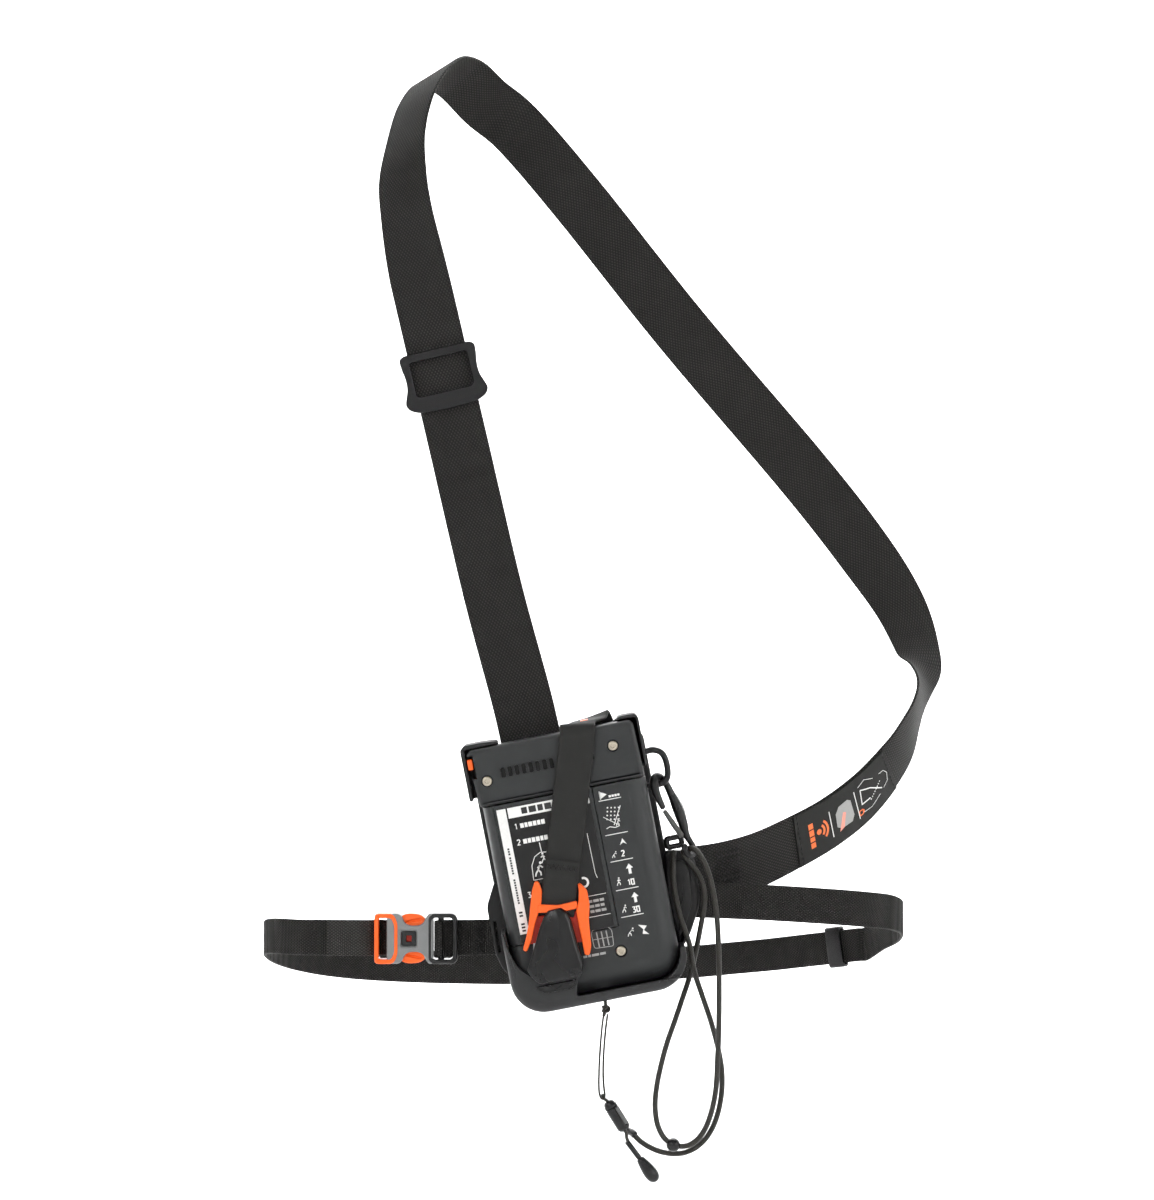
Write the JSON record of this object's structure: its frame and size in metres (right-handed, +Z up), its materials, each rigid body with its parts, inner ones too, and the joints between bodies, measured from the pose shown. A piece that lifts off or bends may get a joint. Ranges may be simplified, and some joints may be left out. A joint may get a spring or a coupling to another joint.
{
  "type": "avalanche transceiver",
  "caption": "Avalanche transceiver held in a holster by a strap with an orange buckle and a lever, with shoulder strap, waist belt with side-release buckle, and a leash with a snap hook.",
  "frame": {"origin": "on the holster's flat back face, at the middle of the transceiver's height and width", "axes": "+Z up as worn, +Y towards the wearer, square to the holster back face, +X to the left of the wearer"},
  "size_m": [0.299, 0.19, 0.4802],
  "materials": {
    "housing": "fine satin texture",
    "cover": "fine satin texture",
    "rubber": "matt",
    "seal": "matt",
    "label": "printed film",
    "window": "clear, scratch resistant",
    "display": "liquid crystal panel",
    "board": "solder resist",
    "copper": "enamelled copper winding",
    "cell": "sleeved cell",
    "nickel": "nickel plated",
    "steel": "spring steel",
    "orange": "moulded acetal, satin",
    "plate": "grained",
    "cup": "satin",
    "wing": "coated laminate",
    "coated": "matt coated webbing",
    "lever": "satin gloss",
    "wire": "satin",
    "gloss": "gloss",
    "hook": "satin",
    "gate": "satin",
    "webbing": "woven polyester webbing",
    "belt": "woven webbing",
    "grey": "moulded acetal",
    "cord": "braided sheath"
  },
  "bodies": {
    "holster": {"front_shell": "housing", "housing_seal": "seal", "rear_shell": "housing", "battery_cover": "cover", "instruction_label": "label", "head_cap": "housing", "screw_head_left": "nickel", "screw_head_right": "nickel", "screw_lower": "nickel", "corner_bumper_left": "rubber", "corner_bumper_right": "rubber", "display_window": "window", "display_module": "display", "circuit_board": "board", "speaker": "steel", "antenna_long": "copper", "antenna_cross": "copper", "antenna_upright": "copper", "battery_cell_1": "cell", "battery_cell_2": "cell", "battery_cell_3": "cell", "battery_contact": "nickel", "holster_back_plate": "plate", "holster_cup": "cup", "belt_wing_left": "wing", "belt_wing_right": "wing", "lever_pin": "steel", "lever_spring": "steel", "d_loop": "wire", "leash_ring": "gloss", "snap_hook": "hook", "shoulder_strap_front": "webbing", "shoulder_strap_top": "webbing", "shoulder_strap_back": "webbing", "shoulder_strap_side": "webbing", "shoulder_label": "label", "waist_strap_tab": "belt", "waist_strap_left": "belt", "waist_strap_rear": "belt", "waist_elastic": "belt", "buckle_female": "grey", "buckle_male": "orange", "leash_cord": "cord", "leash_loop": "cord", "lanyard_loop": "cord", "leash_bead": "gloss", "lanyard_knot": "cord", "lanyard_connector": "gloss", "pull_tab": "gloss"},
    "closure": {"closure_strap": "coated", "closure_buckle": "orange"},
    "lever": {"release_lever": "lever"},
    "mode_switch": {"mode_switch": "orange"},
    "button_left": {"button_left": "rubber"},
    "button_right": {"button_right": "rubber"},
    "gate": {"snap_hook_gate": "gate"},
    "adjuster": {"strap_adjuster": "gloss"},
    "slider": {"belt_slider": "gloss"},
    "prong_upper": {"buckle_prong_upper": "orange"},
    "prong_lower": {"buckle_prong_lower": "orange"}
  },
  "joints": [
    {"name": "closure_swing", "type": "hinge", "parent": "holster", "child": "closure", "pos_m": [0.00847, -0.0014, 0.0534], "axis": [-0.9816, 0, -0.1908], "range_deg": [0, 85]},
    {"name": "lever_release", "type": "hinge", "parent": "holster", "child": "lever", "pos_m": [-0.00855, -0.0342, -0.04302], "axis": [0.9998, 0, 0.0211], "range_deg": [0, 25], "stiffness_Nm_per_rad": 0.03, "springref_deg": -5.73},
    {"name": "mode_switch_slide", "type": "slide", "parent": "holster", "child": "mode_switch", "axis": [0.1908, 0, -0.9816], "range_m": [0, 0.0034]},
    {"name": "button_left_press", "type": "slide", "parent": "holster", "child": "button_left", "axis": [0, -1, 0], "range_m": [0, 0.0008], "stiffness_N_per_m": 400},
    {"name": "button_right_press", "type": "slide", "parent": "holster", "child": "button_right", "axis": [0, -1, 0], "range_m": [0, 0.0008], "stiffness_N_per_m": 400},
    {"name": "hook_gate_open", "type": "hinge", "parent": "holster", "child": "gate", "pos_m": [0.04296, -0.01624, 0.01142], "axis": [-0.7329, 0.6018, -0.3173], "range_deg": [0, 20], "stiffness_Nm_per_rad": 0.01, "springref_deg": -5.73},
    {"name": "strap_adjuster_slide", "type": "slide", "parent": "holster", "child": "adjuster", "axis": [-0.2284, 0, 0.9736], "range_m": [-0.02, 0.02]},
    {"name": "belt_slider_slide", "type": "slide", "parent": "holster", "child": "slider", "axis": [0.7914, -0.591, 0.1563], "range_m": [-0.025, 0.004]},
    {"name": "prong_upper_flex", "type": "hinge", "parent": "holster", "child": "prong_upper", "pos_m": [-0.0794, -0.0025, -0.026], "axis": [0, 1, 0], "range_deg": [0, 6], "stiffness_Nm_per_rad": 0.2},
    {"name": "prong_lower_flex", "type": "hinge", "parent": "holster", "child": "prong_lower", "pos_m": [-0.0794, -0.0025, -0.0388], "axis": [0, 1, 0], "range_deg": [-6, 0], "stiffness_Nm_per_rad": 0.2}
  ],
  "couplings": [
    {"joint": "prong_lower_flex", "follows": "prong_upper_flex", "ratio": -1}
  ]
}
